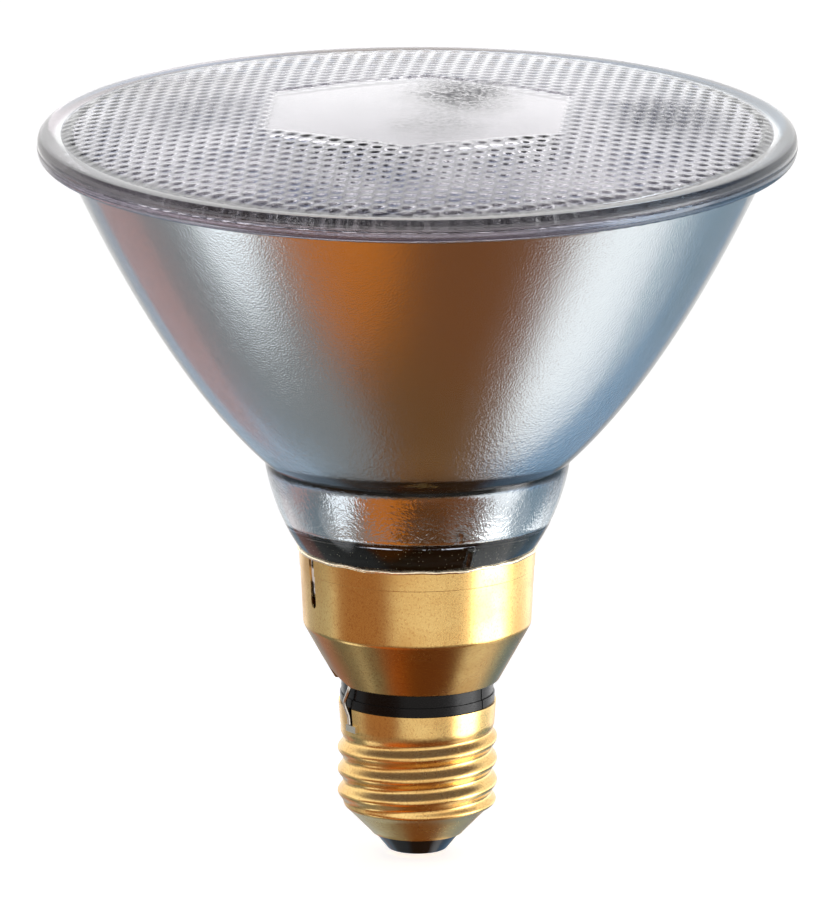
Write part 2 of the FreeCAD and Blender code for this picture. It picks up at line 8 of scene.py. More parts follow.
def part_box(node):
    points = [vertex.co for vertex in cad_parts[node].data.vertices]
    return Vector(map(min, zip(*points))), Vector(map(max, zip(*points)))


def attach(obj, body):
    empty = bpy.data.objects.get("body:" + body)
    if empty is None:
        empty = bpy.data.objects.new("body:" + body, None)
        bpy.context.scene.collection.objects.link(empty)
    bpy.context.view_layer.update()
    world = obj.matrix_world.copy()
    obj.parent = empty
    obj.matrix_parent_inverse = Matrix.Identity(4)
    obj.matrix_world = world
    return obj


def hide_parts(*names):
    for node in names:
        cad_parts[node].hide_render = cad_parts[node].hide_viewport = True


# Reflector spotlight bulb: the finish of each piece, from the contact end of its cap up to the lens.
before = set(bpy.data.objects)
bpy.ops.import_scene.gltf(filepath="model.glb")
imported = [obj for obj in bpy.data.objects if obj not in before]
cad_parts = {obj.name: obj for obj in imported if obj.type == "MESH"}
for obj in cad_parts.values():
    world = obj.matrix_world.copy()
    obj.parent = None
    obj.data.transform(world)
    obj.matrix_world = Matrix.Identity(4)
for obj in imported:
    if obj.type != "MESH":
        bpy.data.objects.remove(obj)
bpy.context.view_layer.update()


# Camera
# It stands far off, as a studio camera with a long lens does, and looks down on the bulb a little.
# The frame is 837 pixels wide and 900 high, with 6.13 pixels to a millimetre at the bulb's axis.
MM = 0.001
camera_distance = 6.0
camera_height_angle = math.radians(13.95)
camera_aim = Vector((0.19, 0, 67.7)) * MM
camera_reach = 100.0
frame_height = 900 / 6.13 * MM
film_size = 36.0

camera = bpy.data.objects.new("camera", bpy.data.cameras.new("camera"))
bpy.context.scene.collection.objects.link(camera)
towards_camera = Vector((0, -math.cos(camera_height_angle), math.sin(camera_height_angle)))
camera.location = camera_aim + towards_camera * camera_distance
camera.rotation_euler = towards_camera.to_track_quat("Z", "Y").to_euler()
camera.data.sensor_width = film_size
camera.data.lens = film_size * camera_distance / frame_height
camera.data.clip_end = camera_reach
bpy.context.scene.camera = camera
bpy.context.scene.view_settings.view_transform = "Standard"


# Studio light
# A white tent of light stands round the bulb, open to a grey ceiling, over a warm table top. Soft cards hang
# in it, each an ellipse as seen from the bulb. A card's direction is in degrees from the camera towards +X,
# and in degrees above level, and later cards stand in front of earlier ones.
tent_colour = "#FBFAF9"
tent_brightness = 1.3
overhead_colour = "#6A6672"
table_colour = "#8E8A86"
# The tent fades into the table and into the ceiling between these heights, as the sines of their angles.
table_fade = (-0.5, -0.2)
overhead_fade = (0.36, 0.62)
cards = [
    # turn, height, half width, half height, softness, colour, brightness
    (0, -90, 26, 26, 0.8, "#75502F", 1.0),
    (30, -60, 26, 12, 0.7, "#7A4A2A", 1.05),
    (-38, -55, 16, 12, 0.5, "#C06C26", 1.2),
    (6, -43, 20, 8, 0.4, "#5E3B1E", 1.0),
    (-108, -54, 17, 19, 0.6, "#8A8D8E", 1.0),
    (-160, -42, 12, 14, 0.6, "#B4CCE0", 1.0),
    (-88, -45, 8, 8, 0.6, "#F8FBFF", 1.6),
    (108, -48, 15, 15, 0.6, "#FBFDFF", 1.25),
    (152, -40, 10, 15, 0.7, "#8FB2D2", 1.0),
    (-120, -14, 20, 12, 0.6, "#BDC0C2", 1.0),
    (4, -14, 24, 14, 0.8, "#F4F0EA", 1.0),
    (-58, -14, 24, 15, 0.6, "#A27959", 1.0),
    (122, -14, 26, 12, 0.5, "#FFFFFF", 1.8),
    (80, -13, 14, 14, 0.8, "#FFFFFF", 6.0),
    (-141, -33, 8, 7, 0.8, "#C29A94", 1.1),
    (127, -35, 7, 7, 0.8, "#C4D2DC", 1.05),
    (-117, -29, 10, 7, 0.6, "#7F8C94", 1.0),
    (130, -27, 20, 7, 0.6, "#8CA2B0", 1.0),
    (180, 16, 14, 14, 0.6, "#FFFFFF", 1.75),
]


def linear(colour):
    """An sRGB hex colour as the linear colour that a shader takes."""
    channels = [int(colour[start:start + 2], 16) / 255 for start in (1, 3, 5)]
    return [c / 12.92 if c <= 0.04045 else ((c + 0.055) / 1.055) ** 2.4 for c in channels] + [1]


def lit(colour, brightness):
    """A linear colour made brighter, as a lamp or a lit card has it."""
    return [channel * brightness for channel in linear(colour)[:3]] + [1]


def add(tree, kind, settings=None, inputs=None):
    """Adds a shader node, with its settings and with its inputs set or linked. Returns its first output."""
    made = tree.nodes.new("ShaderNode" + kind)
    for name, value in (settings or {}).items():
        setattr(made, name, value)
    for name, value in (inputs or {}).items():
        if isinstance(value, bpy.types.NodeSocket):
            tree.links.new(value, made.inputs[name])
        else:
            made.inputs[name].default_value = value
    return next(output for output in made.outputs if output.enabled)


def card_place(turn, height):
    """The direction of a card's middle, and how the card is turned to face the bulb."""
    turn, height = math.radians(turn), math.radians(height)
    middle = Vector((math.sin(turn) * math.cos(height), -math.cos(turn) * math.cos(height), math.sin(height)))
    level = Vector((math.cos(turn), math.sin(turn), 0))
    return middle, Matrix((level, middle.cross(level), middle)).transposed().to_euler()


world = bpy.data.worlds.new("studio")
bpy.context.scene.world = world
world.use_nodes = True
world.cycles.sampling_method = "NONE"
tree = world.node_tree
ray = add(tree, "TexCoord")
height = add(tree, "SeparateXYZ", {}, {0: ray}).node.outputs["Z"]
above_table = add(tree, "MapRange", {"interpolation_type": "SMOOTHSTEP"},
                  {"Value": height, "From Min": table_fade[0], "From Max": table_fade[1]})
light = add(tree, "Mix", {"data_type": "RGBA"},
            {0: above_table, 6: linear(table_colour), 7: lit(tent_colour, tent_brightness)})
above_tent = add(tree, "MapRange", {"interpolation_type": "SMOOTHSTEP"},
                 {"Value": height, "From Min": overhead_fade[0], "From Max": overhead_fade[1]})
light = add(tree, "Mix", {"data_type": "RGBA"}, {0: above_tent, 6: light, 7: linear(overhead_colour)})
for turn, up, half_width, half_height, softness, colour, brightness in cards:
    middle, turned_to = card_place(turn, up)
    size = (math.sin(math.radians(half_width)), math.sin(math.radians(half_height)), 1)
    place = add(tree, "Mapping", {"vector_type": "TEXTURE"},
                {"Vector": ray, "Location": middle, "Rotation": turned_to, "Scale": size})
    away = add(tree, "VectorMath", {"operation": "LENGTH"}, {0: place}).node.outputs["Value"]
    share = add(tree, "MapRange", {"interpolation_type": "SMOOTHSTEP"},
                {"Value": away, "From Min": 1 + softness, "From Max": 1})
    light = add(tree, "Mix", {"data_type": "RGBA"}, {0: share, 6: light, 7: lit(colour, brightness)})
tree.links.new(light, tree.nodes["Background"].inputs["Color"])

# Light goes through the lens, the bowl and its heel many times over before it leaves the glass again.
bpy.context.scene.cycles.max_bounces = 20
bpy.context.scene.cycles.transmission_bounces = 20
bpy.context.scene.cycles.glossy_bounces = 14


# Floor
# A matt white sweep of painted board, lit a little from behind so that it's as pale as the tent.
# Only the camera sees it, so the glass and the brass mirror the studio alone.
floor_reach = 40.0
floor_colour = "#FBFBFB"
floor_glow = 0.68
floor_roughness = 0.9


def finish(name):
    """A new material, with its tree and its main shader."""
    material = bpy.data.materials.new(name)
    material.use_nodes = True
    return material, material.node_tree, material.node_tree.nodes["Principled BSDF"]


sweep = bmesh.new()
bmesh.ops.create_circle(sweep, cap_ends=True, segments=64, radius=floor_reach)
floor_mesh = bpy.data.meshes.new("floor")
sweep.to_mesh(floor_mesh)
sweep.free()
floor = bpy.data.objects.new("floor", floor_mesh)
bpy.context.scene.collection.objects.link(floor)
floor.visible_diffuse = False
floor.visible_glossy = False
floor.visible_transmission = False
floor.visible_shadow = False
board, tree, shader = finish("painted board")
shader.inputs["Base Color"].default_value = linear(floor_colour)
shader.inputs["Roughness"].default_value = floor_roughness
shader.inputs["Specular IOR Level"].default_value = 0.0
shader.inputs["Emission Color"].default_value = linear(floor_colour)
shader.inputs["Emission Strength"].default_value = floor_glow
floor_mesh.materials.append(board)


# Screw cap brass
# The skirt, the thread shell and the contact plate are thin yellow brass sheet, drawn and rolled to shape.
# Drawn brass keeps a satin skin with a fine grain, and handling and heat leave it redder and browner in
# places. The skirt's cone faces down towards the darker table, and a painted shade makes it a little darker.
brass_bright = "#F4D18A"
brass_aged = "#DFAE66"
brass_red = "#BF8044"
brass_gloss = (0.2, 0.3)
stain_size = 9.0
stain_spread = (0.3, 0.75)
# The real grain is finer than a pixel, so it's drawn coarser here, to show.
grain_size = 0.3
grain_stretch = 0.8
grain_depth = 0.012
speck_spread = (0.5, 0.95)
cone_painted_shade = "#CDCBC8"
cone_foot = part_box("skirt")[0].z / MM
cone_top = cone_foot + 10.0
cone_blend = 1.0


def dress(nodes, material):
    """Gives pieces of the frame a material."""
    for name in nodes:
        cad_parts[name].data.materials[0] = material


brass, tree, shader = finish("drawn brass")
place = add(tree, "TexCoord").node.outputs["Object"]
stains = add(tree, "TexNoise", {}, {"Vector": place, "Scale": 1 / (stain_size * MM), "Detail": 4.0})
drawn = add(tree, "Mapping", {}, {"Vector": place, "Scale": (1, 1, grain_stretch)})
grain = add(tree, "TexNoise", {}, {"Vector": drawn, "Scale": 1 / (grain_size * MM), "Detail": 3.0})
aged = add(tree, "MapRange", {}, {"Value": stains, "From Min": stain_spread[0], "From Max": stain_spread[1]})
colour = add(tree, "Mix", {"data_type": "RGBA"}, {0: aged, 6: linear(brass_bright), 7: linear(brass_aged)})
speck = add(tree, "MapRange", {}, {"Value": grain, "From Min": speck_spread[0], "From Max": speck_spread[1]})
colour = add(tree, "Mix", {"data_type": "RGBA"}, {0: speck, 6: colour, 7: linear(brass_red)})
gloss = add(tree, "MapRange", {}, {"Value": stains, "From Min": 0.35, "From Max": 0.65,
                                   "To Min": brass_gloss[0], "To Max": brass_gloss[1]})
relief = add(tree, "Bump", {}, {"Height": grain, "Strength": 0.4, "Distance": grain_depth * MM})
level = add(tree, "SeparateXYZ", {}, {0: place}).node.outputs["Z"]
above_foot = add(tree, "MapRange", {},
                 {"Value": level, "From Min": (cone_foot - cone_blend) * MM, "From Max": cone_foot * MM})
below_shoulder = add(tree, "MapRange", {},
                     {"Value": level, "From Min": cone_top * MM, "From Max": (cone_top - cone_blend) * MM})
painted_shade_on_cone = add(tree, "Math", {"operation": "MULTIPLY"}, {0: above_foot, 1: below_shoulder})
# The cone is multiplied darker here, a painted shade for its facing down towards the table.
colour = add(tree, "Mix", {"data_type": "RGBA", "blend_type": "MULTIPLY"},
             {0: painted_shade_on_cone, 6: colour, 7: linear(cone_painted_shade)})
tree.links.new(colour, shader.inputs["Base Color"])
tree.links.new(gloss, shader.inputs["Roughness"])
tree.links.new(relief, shader.inputs["Normal"])
shader.inputs["Metallic"].default_value = 1.0
dress(["skirt", "screw_shell", "centre_contact"], brass)


# Lip bead
# The skirt's top edge is brass too, spun in hot against the glass. That leaves an uneven bead of metal round
# it, which is smoother than the drawn wall and catches the light in short glints. It's near white, a painted
# highlight.
bead_highlight_colour = "#FFF0D2"
bead_gloss = (0.05, 0.2)
bead_ring_radius = 19.5
bead_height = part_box("skirt")[1].z / MM
bead_section_radius = 0.33
bead_section_sides = 10
bead_segments = 240
bead_wobble = 0.22
bead_wobble_rate = 6
bead_wobble_seed = 3
bead_ripple_size = 0.9
bead_ripple_depth = 0.15


def piece(name, shape, material):
    """An object made from a bmesh, smooth, in place and riding on the bulb."""
    mesh = bpy.data.meshes.new(name)
    shape.to_mesh(mesh)
    shape.free()
    mesh.materials.append(material)
    made = bpy.data.objects.new(name, mesh)
    bpy.context.scene.collection.objects.link(made)
    mesh.shade_smooth()
    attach(made, "root")
    return made


bead_brass, tree, shader = finish("spun brass")
place = add(tree, "TexCoord").node.outputs["Object"]
ripple = add(tree, "TexNoise", {}, {"Vector": place, "Scale": 1 / (bead_ripple_size * MM), "Detail": 2.0})
relief = add(tree, "Bump", {}, {"Height": ripple, "Strength": 0.8, "Distance": bead_ripple_depth * MM})
gloss = add(tree, "MapRange", {}, {"Value": ripple, "To Min": bead_gloss[0], "To Max": bead_gloss[1]})
tree.links.new(relief, shader.inputs["Normal"])
tree.links.new(gloss, shader.inputs["Roughness"])
# The bead's near-white colour is a painted highlight, not the colour of brass.
shader.inputs["Base Color"].default_value = linear(bead_highlight_colour)
shader.inputs["Metallic"].default_value = 1.0

bead = bmesh.new()
section_place = Matrix.Translation((bead_ring_radius * MM, 0, bead_height * MM))
bmesh.ops.create_circle(bead, segments=bead_section_sides, radius=bead_section_radius * MM,
                        matrix=section_place @ Matrix.Rotation(math.pi / 2, 4, "X"))
bmesh.ops.spin(bead, geom=bead.verts[:] + bead.edges[:], cent=(0, 0, 0), axis=(0, 0, 1), angle=math.tau,
               steps=bead_segments, use_merge=True)
bmesh.ops.remove_doubles(bead, verts=bead.verts, dist=0.001 * MM)
noise.seed_set(bead_wobble_seed)
for corner in bead.verts:
    out = corner.co.xy.normalized()
    sway = noise.noise_vector(Vector((out.x, out.y, 0)) * bead_wobble_rate)
    flat = out * (corner.co.xy.length + sway.x * bead_wobble * 0.5 * MM)
    corner.co = (flat.x, flat.y, corner.co.z + sway.y * bead_wobble * MM)
bmesh.ops.recalc_face_normals(bead, faces=bead.faces)
bead_piece = piece("lip_bead", bead, bead_brass)


# Contact end
# The insulator is a plug of black glass that carries the contact plate. It's moulded hot into the shell's
# mouth, which leaves it smooth, a little wavy and very glossy.
black_glass_colour = "#0B090C"
black_glass_gloss = (0.05, 0.16)
wave_size = 2.5
wave_depth = 0.05

insulator_glass, tree, shader = finish("black glass")
place = add(tree, "TexCoord").node.outputs["Object"]
waves = add(tree, "TexNoise", {}, {"Vector": place, "Scale": 1 / (wave_size * MM), "Detail": 2.0})
relief = add(tree, "Bump", {}, {"Height": waves, "Strength": 0.3, "Distance": wave_depth * MM})
gloss = add(tree, "MapRange", {},
            {"Value": waves, "To Min": black_glass_gloss[0], "To Max": black_glass_gloss[1]})
tree.links.new(gloss, shader.inputs["Roughness"])
tree.links.new(relief, shader.inputs["Normal"])
shader.inputs["Base Color"].default_value = linear(black_glass_colour)
dress(["base_insulator"], insulator_glass)


# Solder and wires
# Each lead ends in a drop of tin solder, on the contact plate or on the shell's side, which freezes with a
# dull and slightly wrinkled skin. The leads are drawn copper wire with a tinned skin, a little brighter.
solder_colour = "#C9C3B4"
wire_colour = "#D8D6D0"
skin_depth = 0.04
for name, colour, wrinkle_size, roughness, pieces in (
        ("soft solder", solder_colour, 0.7, 0.32, ["centre_solder", "side_solder"]),
        ("tinned wire", wire_colour, 0.25, 0.22, ["side_lead", "centre_lead"])):
    metal, tree, shader = finish(name)
    place = add(tree, "TexCoord").node.outputs["Object"]
    skin = add(tree, "TexNoise", {}, {"Vector": place, "Scale": 1 / (wrinkle_size * MM), "Detail": 3.0})
    relief = add(tree, "Bump", {}, {"Height": skin, "Strength": 0.4, "Distance": skin_depth * MM})
    gloss = add(tree, "MapRange", {}, {"Value": skin, "To Min": roughness - 0.1, "To Max": roughness + 0.1})
    tree.links.new(gloss, shader.inputs["Roughness"])
    tree.links.new(relief, shader.inputs["Normal"])
    shader.inputs["Base Color"].default_value = linear(colour)
    shader.inputs["Metallic"].default_value = 1.0
    dress(pieces, metal)


# Insulating ring
# A ring of black phenolic keeps the skirt and the thread shell apart. It's moulded glossy and pressed between
# them, and handling has scratched it lengthwise round the bulb.
ring_colour = "#080607"
ring_gloss = (0.12, 0.4)
ring_shine = 0.2
scratch_size = 0.5
scratch_stretch = 6
scratch_depth = 0.02
scratch_spread = (0.35, 0.7)

phenolic, tree, shader = finish("black phenolic")
place = add(tree, "TexCoord").node.outputs["Object"]
along = add(tree, "Mapping", {}, {"Vector": place, "Scale": (1, 1, scratch_stretch)})
scratches = add(tree, "TexNoise", {}, {"Vector": along, "Scale": 1 / (scratch_size * MM), "Detail": 5.0})
gloss = add(tree, "MapRange", {},
            {"Value": scratches, "From Min": scratch_spread[0], "From Max": scratch_spread[1],
             "To Min": ring_gloss[0], "To Max": ring_gloss[1]})
relief = add(tree, "Bump", {}, {"Height": scratches, "Strength": 0.3, "Distance": scratch_depth * MM})
tree.links.new(gloss, shader.inputs["Roughness"])
tree.links.new(relief, shader.inputs["Normal"])
shader.inputs["Base Color"].default_value = linear(ring_colour)
shader.inputs["Specular IOR Level"].default_value = ring_shine
dress(["insulating_ring"], phenolic)


# Base cement
# Pale capping cement fills the room between the skirt and the glass boss and sets hard. It's matt and grainy.
# In places it's painted near black, a painted shadow for gaps where it has shrunk from the brass, in the
# slit.
cement_light = "#F6F2EC"
cement_gap_shadow = "#1E1A14"
cement_roughness = 0.85
cement_lump_size = 1.6
cement_lump_depth = 0.1
cement_gap_shadow_spread = (0.46, 0.56)

cement, tree, shader = finish("capping cement")
place = add(tree, "TexCoord").node.outputs["Object"]
lumps_and_gap_shadow = add(tree, "TexNoise", {}, {"Vector": place, "Scale": 1 / (cement_lump_size * MM), "Detail": 4.0})
lumps_and_gap_shadow = add(tree, "MapRange", {},
            {"Value": lumps_and_gap_shadow, "From Min": cement_gap_shadow_spread[0], "From Max": cement_gap_shadow_spread[1]})
# The dark colour is a painted shadow, for the shrinkage gaps in the cement.
colour = add(tree, "Mix", {"data_type": "RGBA"}, {0: lumps_and_gap_shadow, 6: linear(cement_gap_shadow), 7: linear(cement_light)})
relief = add(tree, "Bump", {}, {"Height": lumps_and_gap_shadow, "Strength": 0.8, "Distance": cement_lump_depth * MM})
tree.links.new(colour, shader.inputs["Base Color"])
tree.links.new(relief, shader.inputs["Normal"])
shader.inputs["Roughness"].default_value = cement_roughness
dress(["base_cement"], cement)


# Pressed glass bowl
# The reflector, its thick heel and its flange are one piece of clear borosilicate glass, pressed in an iron
# mould. Pressing leaves a faint orange-peel skin, and the glass is very slightly green. Its rim was melted to
# the lens in a flame, and that edge is painted purple on one side and blue-grey on the other, a painted
# reflection.
glass_tint = "#F1F6F3"
glass_ior = 1.474
glass_roughness = 0.03
thick_glass_colour = "#B4B8C8"
thick_glass_density = 40.0
glass_peel_size = 1.1
glass_peel_depth = 0.05
seal_painted_blue = "#6C869C"
seal_painted_purple = "#D6CAD2"
seal_inner = 58.6
seal_outer = 59.6
seal_turns = (10, 45)


def painted_edge_reflection(tree, place, clear, left_reflection, right_reflection):
    """Glass colour that goes from clear to a painted reflection at the sealed edge, one colour on each side.
    """
    level = add(tree, "VectorMath", {"operation": "MULTIPLY"}, {0: place, 1: (1, 1, 0)})
    away = add(tree, "VectorMath", {"operation": "LENGTH"}, {0: level}).node.outputs["Value"]
    sealed = add(tree, "MapRange", {"interpolation_type": "SMOOTHSTEP"},
                 {"Value": away, "From Min": seal_inner * MM, "From Max": seal_outer * MM})
    across = add(tree, "SeparateXYZ", {}, {0: place}).node.outputs["X"]
    turn = add(tree, "MapRange", {"interpolation_type": "SMOOTHSTEP"},
               {"Value": across, "From Min": seal_turns[0] * MM, "From Max": seal_turns[1] * MM})
    tint = add(tree, "Mix", {"data_type": "RGBA"}, {0: turn, 6: linear(left_reflection), 7: linear(right_reflection)})
    return add(tree, "Mix", {"data_type": "RGBA"}, {0: sealed, 6: clear, 7: tint})


bowl_glass, tree, shader = finish("pressed borosilicate glass")
place = add(tree, "TexCoord").node.outputs["Object"]
peel = add(tree, "TexNoise", {}, {"Vector": place, "Scale": 1 / (glass_peel_size * MM), "Detail": 2.0})
relief = add(tree, "Bump", {}, {"Height": peel, "Strength": 0.16, "Distance": glass_peel_depth * MM})
tree.links.new(relief, shader.inputs["Normal"])
# The rim's colours by side are a painted reflection.
edge = painted_edge_reflection(tree, place, linear(glass_tint), seal_painted_purple, seal_painted_blue)
tree.links.new(edge, shader.inputs["Base Color"])
shader.inputs["Transmission Weight"].default_value = 1.0
shader.inputs["IOR"].default_value = glass_ior
shader.inputs["Roughness"].default_value = glass_roughness
thick = add(tree, "VolumeAbsorption", {},
            {"Color": linear(thick_glass_colour), "Density": thick_glass_density})
tree.links.new(thick, tree.nodes["Material Output"].inputs["Volume"])
dress(["reflector", "exhaust_tube", "support_bead"], bowl_glass)


# Painted shade core
# The two seals and the exhaust hole sit in a dark plug under the mirror in the floor of the bowl. It's
# painted
# shade: it shows through the clear heel as a dark green-black band, and its pale flecks are painted glints.
core_shade_colour = "#14170F"
core_roughness = 0.35
core_shine = 0.1
fleck_glint_colour = "#C8C6A8"
glint_size = 0.55
glint_spread = (0.16, 0.08)
core_radius = 15.5
core_height = 4.9
core_gap = 0.2
core_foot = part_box("mirror_coating")[0].z / MM - core_height - core_gap

shade_plug_material, tree, shader = finish("painted shade plug")
place = add(tree, "TexCoord").node.outputs["Object"]
glint_cells = add(tree, "TexVoronoi", {}, {"Vector": place, "Scale": 1 / (glint_size * MM)})
glint_fleck = add(tree, "MapRange", {}, {"Value": glint_cells, "From Min": glint_spread[0], "From Max": glint_spread[1]})
# Painted shade, with pale flecks of painted glints.
colour = add(tree, "Mix", {"data_type": "RGBA"}, {0: glint_fleck, 6: linear(core_shade_colour), 7: linear(fleck_glint_colour)})
tree.links.new(colour, shader.inputs["Base Color"])
shader.inputs["Roughness"].default_value = core_roughness
shader.inputs["Specular IOR Level"].default_value = core_shine

core = bmesh.new()
bmesh.ops.create_circle(core, cap_ends=True, segments=96, radius=core_radius * MM,
                        matrix=Matrix.Translation((0, 0, core_foot * MM)))
grown = bmesh.ops.extrude_face_region(core, geom=core.faces[:])["geom"]
bmesh.ops.translate(core, vec=(0, 0, core_height * MM),
                    verts=[part for part in grown if isinstance(part, bmesh.types.BMVert)])
bmesh.ops.recalc_face_normals(core, faces=core.faces)
core_piece = piece("painted_shade_core", core, shade_plug_material)


# Mirror film
# Aluminium, laid on the inside of the bowl in a vacuum, so it copies every ripple of the glass under it. It's
# left off round the two seals and the exhaust hole. Here it's sunk a hair into the glass, which leaves no gap
# between them for light to catch on.
film_colour = "#F3F3F5"
film_gloss = (0.05, 0.13)
gloss_levels = (65, 68)
# Peel and satin are its coarse and fine ripple. The peel is strong at the heel and nearly gone at the flange.
peel_size = 0.75
peel_depth = 0.06
peel_strength = (0.6, 0.06)
peel_levels = (66, 95)
satin_size = 0.32
satin_depth = 0.03
satin_strength = 0.85
floor_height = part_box("mirror_coating")[0].z / MM
film_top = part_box("mirror_coating")[1].z / MM
pocket_floor_radius = 17.6
pocket_radius = 20.2
pocket_depth = 9.4
pocket_floor_round = 1.2
pocket_edge_round = 1.5
focal_length = 12.7
bowl_steps = 40
film_sunk = 0.03
film_thickness = 0.12
film_segments = 256
plate_radius = 14.2
bare_radius = 4.2
seal_spacing = 19.0
vent_radius = 1.4
hole_segments = 48
vertex_height = floor_height + pocket_depth - pocket_radius ** 2 / (4 * focal_length)


def rounded(before, corner, after, inset, steps=5):
    """Points round a corner, from an inset before it to the same inset after it."""
    corner = Vector(corner)
    start = corner + (Vector(before) - corner).normalized() * inset
    end = corner + (Vector(after) - corner).normalized() * inset
    shares = [step / steps for step in range(steps + 1)]
    return [start.lerp(corner, share).lerp(corner.lerp(end, share), share) for share in shares]


def turned(outline, segments):
    """An open outline of (radius, height) points in millimetres, turned round the bulb's axis, as a bmesh."""
    shape = bmesh.new()
    points = [shape.verts.new((radius * MM, 0, level * MM)) for radius, level in outline]
    lines = [shape.edges.new(pair) for pair in zip(points, points[1:])]
    bmesh.ops.spin(shape, geom=points + lines, cent=(0, 0, 0), axis=(0, 0, 1), angle=math.tau,
                   steps=segments, use_merge=True)
    bmesh.ops.remove_doubles(shape, verts=shape.verts, dist=0.001 * MM)
    bmesh.ops.recalc_face_normals(shape, faces=shape.faces)
    return shape


bowl_foot_radius = pocket_radius + pocket_edge_round
film_reach = math.sqrt((film_top - vertex_height) * 4 * focal_length)
bowl = [bowl_foot_radius + (film_reach - pocket_radius - pocket_edge_round) * step / bowl_steps
        for step in range(bowl_steps + 1)]
bowl = [(radius, vertex_height + radius ** 2 / (4 * focal_length)) for radius in bowl]
floor_corner = (pocket_floor_radius, floor_height)
edge_corner = (pocket_radius, floor_height + pocket_depth)
outline = [(plate_radius, floor_height)]
outline += rounded((0, floor_height), floor_corner, edge_corner, pocket_floor_round)
outline += rounded(floor_corner, edge_corner, bowl[0], pocket_edge_round)
outline += bowl
film = turned(outline, film_segments)
for x, radius in ((-seal_spacing / 2, bare_radius), (0, vent_radius), (seal_spacing / 2, bare_radius)):
    bmesh.ops.create_circle(film, segments=hole_segments, radius=radius * MM,
                            matrix=Matrix.Translation((x * MM, 0, floor_height * MM)))
plate_edges = [line for line in film.edges if len(line.link_faces) < 2
               and all(corner.co.xy.length < (plate_radius + 0.01) * MM for corner in line.verts)]
bmesh.ops.triangle_fill(film, edges=plate_edges, use_beauty=True)
bmesh.ops.recalc_face_normals(film, faces=film.faces)
if min(film.faces, key=lambda face: face.calc_center_median().z).normal.z < 0:
    bmesh.ops.reverse_faces(film, faces=film.faces)
for corner in film.verts:
    corner.normal_update()
for corner in film.verts:
    corner.co -= corner.normal * film_sunk * MM
bmesh.ops.solidify(film, geom=film.faces[:], thickness=-film_thickness * MM)

aluminium, tree, shader = finish("vacuum-laid aluminium")
place = add(tree, "TexCoord").node.outputs["Object"]
peel = add(tree, "TexNoise", {}, {"Vector": place, "Scale": 1 / (peel_size * MM), "Detail": 2.0})
satin = add(tree, "TexNoise", {}, {"Vector": place, "Scale": 1 / (satin_size * MM), "Detail": 2.0})
level = add(tree, "SeparateXYZ", {}, {0: place}).node.outputs["Z"]
above_heel = add(tree, "MapRange", {"interpolation_type": "SMOOTHSTEP"},
                 {"Value": level, "From Min": gloss_levels[0] * MM, "From Max": gloss_levels[1] * MM})
gloss = add(tree, "MapRange", {}, {"Value": above_heel, "To Min": film_gloss[0], "To Max": film_gloss[1]})
coarse = add(tree, "MapRange", {"interpolation_type": "SMOOTHSTEP"},
             {"Value": level, "From Min": peel_levels[0] * MM, "From Max": peel_levels[1] * MM,
              "To Min": peel_strength[0], "To Max": peel_strength[1]})
relief = add(tree, "Bump", {}, {"Height": satin, "Strength": satin_strength, "Distance": satin_depth * MM})
relief = add(tree, "Bump", {},
             {"Height": peel, "Strength": coarse, "Distance": peel_depth * MM, "Normal": relief})
tree.links.new(relief, shader.inputs["Normal"])
tree.links.new(gloss, shader.inputs["Roughness"])
shader.inputs["Base Color"].default_value = linear(film_colour)
shader.inputs["Metallic"].default_value = 1.0
film_piece = piece("aluminium_film", film, aluminium)
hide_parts("mirror_coating")


# Seals, posts and filament
# Two nickel-plated iron cups are melted into the bowl's floor. The rods brazed into them are nickel-plated
# too, with a soft shine, and carry the coil of grey drawn tungsten wire at the bowl's focus.
nickel_colour = "#B9B2A6"
tungsten_colour = "#6F7074"
wire_skin_size = 0.5
plated = ["ferrule_left", "ferrule_right", "lead_post_left", "lead_post_right", "filament_support"]
for name, colour, roughness, pieces in (("nickel plate", nickel_colour, 0.3, plated),
                                        ("drawn tungsten", tungsten_colour, 0.35, ["filament"])):
    metal, tree, shader = finish(name)
    place = add(tree, "TexCoord").node.outputs["Object"]
    skin = add(tree, "TexNoise", {}, {"Vector": place, "Scale": 1 / (wire_skin_size * MM), "Detail": 3.0})
    gloss = add(tree, "MapRange", {}, {"Value": skin, "To Min": roughness - 0.1, "To Max": roughness + 0.1})
    tree.links.new(gloss, shader.inputs["Roughness"])
    shader.inputs["Base Color"].default_value = linear(colour)
    shader.inputs["Metallic"].default_value = 1.0
    dress(pieces, metal)


# Lens
# Pressed clear glass, sealed to the bowl flange to flange. Its field is covered with small domes, set in
# columns that run from front to back, round a plain six-sided window. The inside is smooth.
lens_low, lens_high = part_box("lens")
window_recess = 0.3
lens_top = lens_high.z / MM + window_recess
seam_height = lens_low.z / MM
seal_depth = 0.02
rim_radius = 61.97
rim_bevel = 0.2
rim_round = 1.6
land_radius = 60.3
land_height = seam_height + 1.8
field_radius = 58.0
field_step = 0.2
field_trim = 0.15
lens_rise = 4.4
lens_thickness = 2.5
inside_steps = 12
column_spacing = 2.4
dome_spacing = 2.77
dome_radius = 3.4
dome_reach = 1.39
dome_stretch = 0.6
cells_across = 5
cells_along = 6
window_turn = math.radians(-4)
window_half_width = 24.0
window_side = 13.4
window_point = 24.6
window_clean_cells = 1.5
sphere = (field_radius ** 2 + lens_rise ** 2) / (2 * lens_rise)
sphere_centre = lens_top - sphere
valley_level = math.sqrt(dome_radius ** 2 - dome_reach ** 2)
dome_height = dome_radius - valley_level


